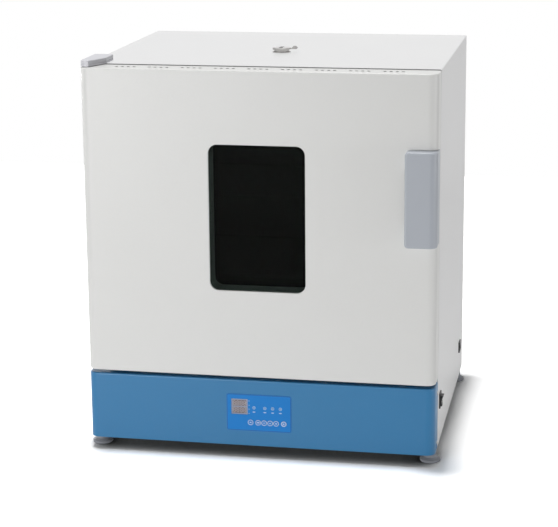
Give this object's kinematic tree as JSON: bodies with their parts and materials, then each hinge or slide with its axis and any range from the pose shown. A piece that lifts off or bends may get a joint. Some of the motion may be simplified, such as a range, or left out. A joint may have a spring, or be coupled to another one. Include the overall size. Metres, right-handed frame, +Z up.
{
  "type": "forced air oven",
  "caption": "Bench-top forced air drying oven: insulated cabinet with a windowed side-hung door, a keypad with a digital display on a fascia below it and an adjustable vent on top.",
  "frame": {"origin": "on the floor plane, under the middle of the cabinet", "axes": "+X to the right of someone facing the door, +Y towards the back, +Z up"},
  "size_m": [0.7157, 0.648, 0.7928],
  "materials": {
    "case_paint": "fine-textured light grey-white powder coat",
    "door_paint": "fine-textured light warm grey powder coat",
    "fascia_paint": "satin blue powder coat",
    "galvanised": "galvanised steel sheet",
    "stainless": "brushed stainless steel",
    "stainless_wire": "electropolished stainless rod",
    "chrome": "polished chrome",
    "mineral_wool": "mineral wool",
    "fan_steel": "matt stainless sheet",
    "shaft_steel": "ground steel",
    "motor_paint": "dark grey motor paint",
    "heater_sheath": "heat-tinted steel sheath",
    "zinc": "zinc-plated steel",
    "bronze": "sintered bronze",
    "cap_plastic": "light grey moulded plastic",
    "handle_plastic": "mid grey moulded plastic",
    "glass": "clear float glass",
    "frame_steel": "grey heat-resistant paint",
    "silicone": "grey-white silicone rubber",
    "magnet": "white moulded housing",
    "overlay": "printed blue polyester film",
    "lens": "grey-tinted window",
    "digits": "unlit seven-segment digits",
    "led": "milky indicator lens",
    "key": "printed blue key",
    "board": "green circuit board",
    "black_plastic": "black moulded plastic",
    "foot_plastic": "grey moulded rubber",
    "screw": "zinc-plated steel"
  },
  "bodies": {
    "cabinet": {"outer_case": "case_paint", "back_panel": "case_paint", "motor_cover": "case_paint", "base_pan": "galvanised", "compartment_deck": "galvanised", "motor_bracket": "galvanised", "fascia_brackets": "galvanised", "mouth_frame": "stainless", "chamber": "stainless", "air_baffle": "stainless", "shelf_rack_left": "stainless", "shelf_rack_right": "stainless", "temperature_probe": "stainless_wire", "insulation": "mineral_wool", "fan_motor": "motor_paint", "heater_element": "heater_sheath", "exhaust_tube": "stainless", "vent_collar": "chrome", "upper_hinge_bracket": "zinc", "lower_hinge_bracket": "zinc", "hinge_cap": "cap_plastic", "catch_magnet": "magnet", "control_fascia": "fascia_paint", "keypad_overlay": "overlay", "display_lens": "lens", "led_digits": "digits", "indicator_leds": "led", "control_board": "board", "power_board": "board", "switch_housing": "black_plastic", "power_inlet": "black_plastic", "feet": "foot_plastic", "fascia_screws": "screw", "rear_screws": "screw"},
    "door": {"door_skin": "door_paint", "door_inner_panel": "stainless", "door_insulation": "mineral_wool", "window_outer_glass": "glass", "window_inner_glass": "glass", "window_frame": "frame_steel", "door_gasket": "silicone", "door_handle": "handle_plastic", "upper_hinge_bush": "bronze", "lower_hinge_bush": "bronze", "catch_plate": "zinc"},
    "vent_cap": {"vent_cap": "chrome"},
    "fan": {"fan_impeller": "fan_steel", "fan_shaft": "shaft_steel"},
    "switch_rocker": {"switch_rocker": "black_plastic"},
    "upper_shelf": {"upper_shelf": "stainless_wire"},
    "lower_shelf": {"lower_shelf": "stainless_wire"},
    "set_key": {"set_key": "key"},
    "shift_key": {"shift_key": "key"},
    "down_key": {"down_key": "key"},
    "up_key": {"up_key": "key"},
    "timer_key": {"timer_key": "key"},
    "start_key": {"start_key": "key"}
  },
  "joints": [
    {"name": "door_swing", "type": "hinge", "parent": "cabinet", "child": "door", "pos_m": [-0.34, -0.268, 0.47], "axis": [0, 0, -1], "range_deg": [0, 120]},
    {"name": "vent_turn", "type": "hinge", "parent": "cabinet", "child": "vent_cap", "pos_m": [0, -0.029, 0.785], "axis": [0, 0, 1], "range_deg": [0, 90]},
    {"name": "fan_spin", "type": "hinge", "parent": "cabinet", "child": "fan", "pos_m": [0, 0.18, 0.4685], "axis": [0, 1, 0], "continuous": true},
    {"name": "rocker_tilt", "type": "hinge", "parent": "cabinet", "child": "switch_rocker", "pos_m": [0.3494, -0.207, 0.111], "axis": [0, -1, 0], "range_deg": [0, 14]},
    {"name": "upper_shelf_slide", "type": "slide", "parent": "cabinet", "child": "upper_shelf", "axis": [0, -1, 0], "range_m": [0, 0.023]},
    {"name": "lower_shelf_slide", "type": "slide", "parent": "cabinet", "child": "lower_shelf", "axis": [0, -1, 0], "range_m": [0, 0.023]},
    {"name": "set_press", "type": "slide", "parent": "cabinet", "child": "set_key", "axis": [0, 1, 0], "range_m": [0, 0.0005], "stiffness_N_per_m": 1000},
    {"name": "shift_press", "type": "slide", "parent": "cabinet", "child": "shift_key", "axis": [0, 1, 0], "range_m": [0, 0.0005], "stiffness_N_per_m": 1000},
    {"name": "down_press", "type": "slide", "parent": "cabinet", "child": "down_key", "axis": [0, 1, 0], "range_m": [0, 0.0005], "stiffness_N_per_m": 1000},
    {"name": "up_press", "type": "slide", "parent": "cabinet", "child": "up_key", "axis": [0, 1, 0], "range_m": [0, 0.0005], "stiffness_N_per_m": 1000},
    {"name": "timer_press", "type": "slide", "parent": "cabinet", "child": "timer_key", "axis": [0, 1, 0], "range_m": [0, 0.0005], "stiffness_N_per_m": 1000},
    {"name": "start_press", "type": "slide", "parent": "cabinet", "child": "start_key", "axis": [0, 1, 0], "range_m": [0, 0.0005], "stiffness_N_per_m": 1000}
  ]
}
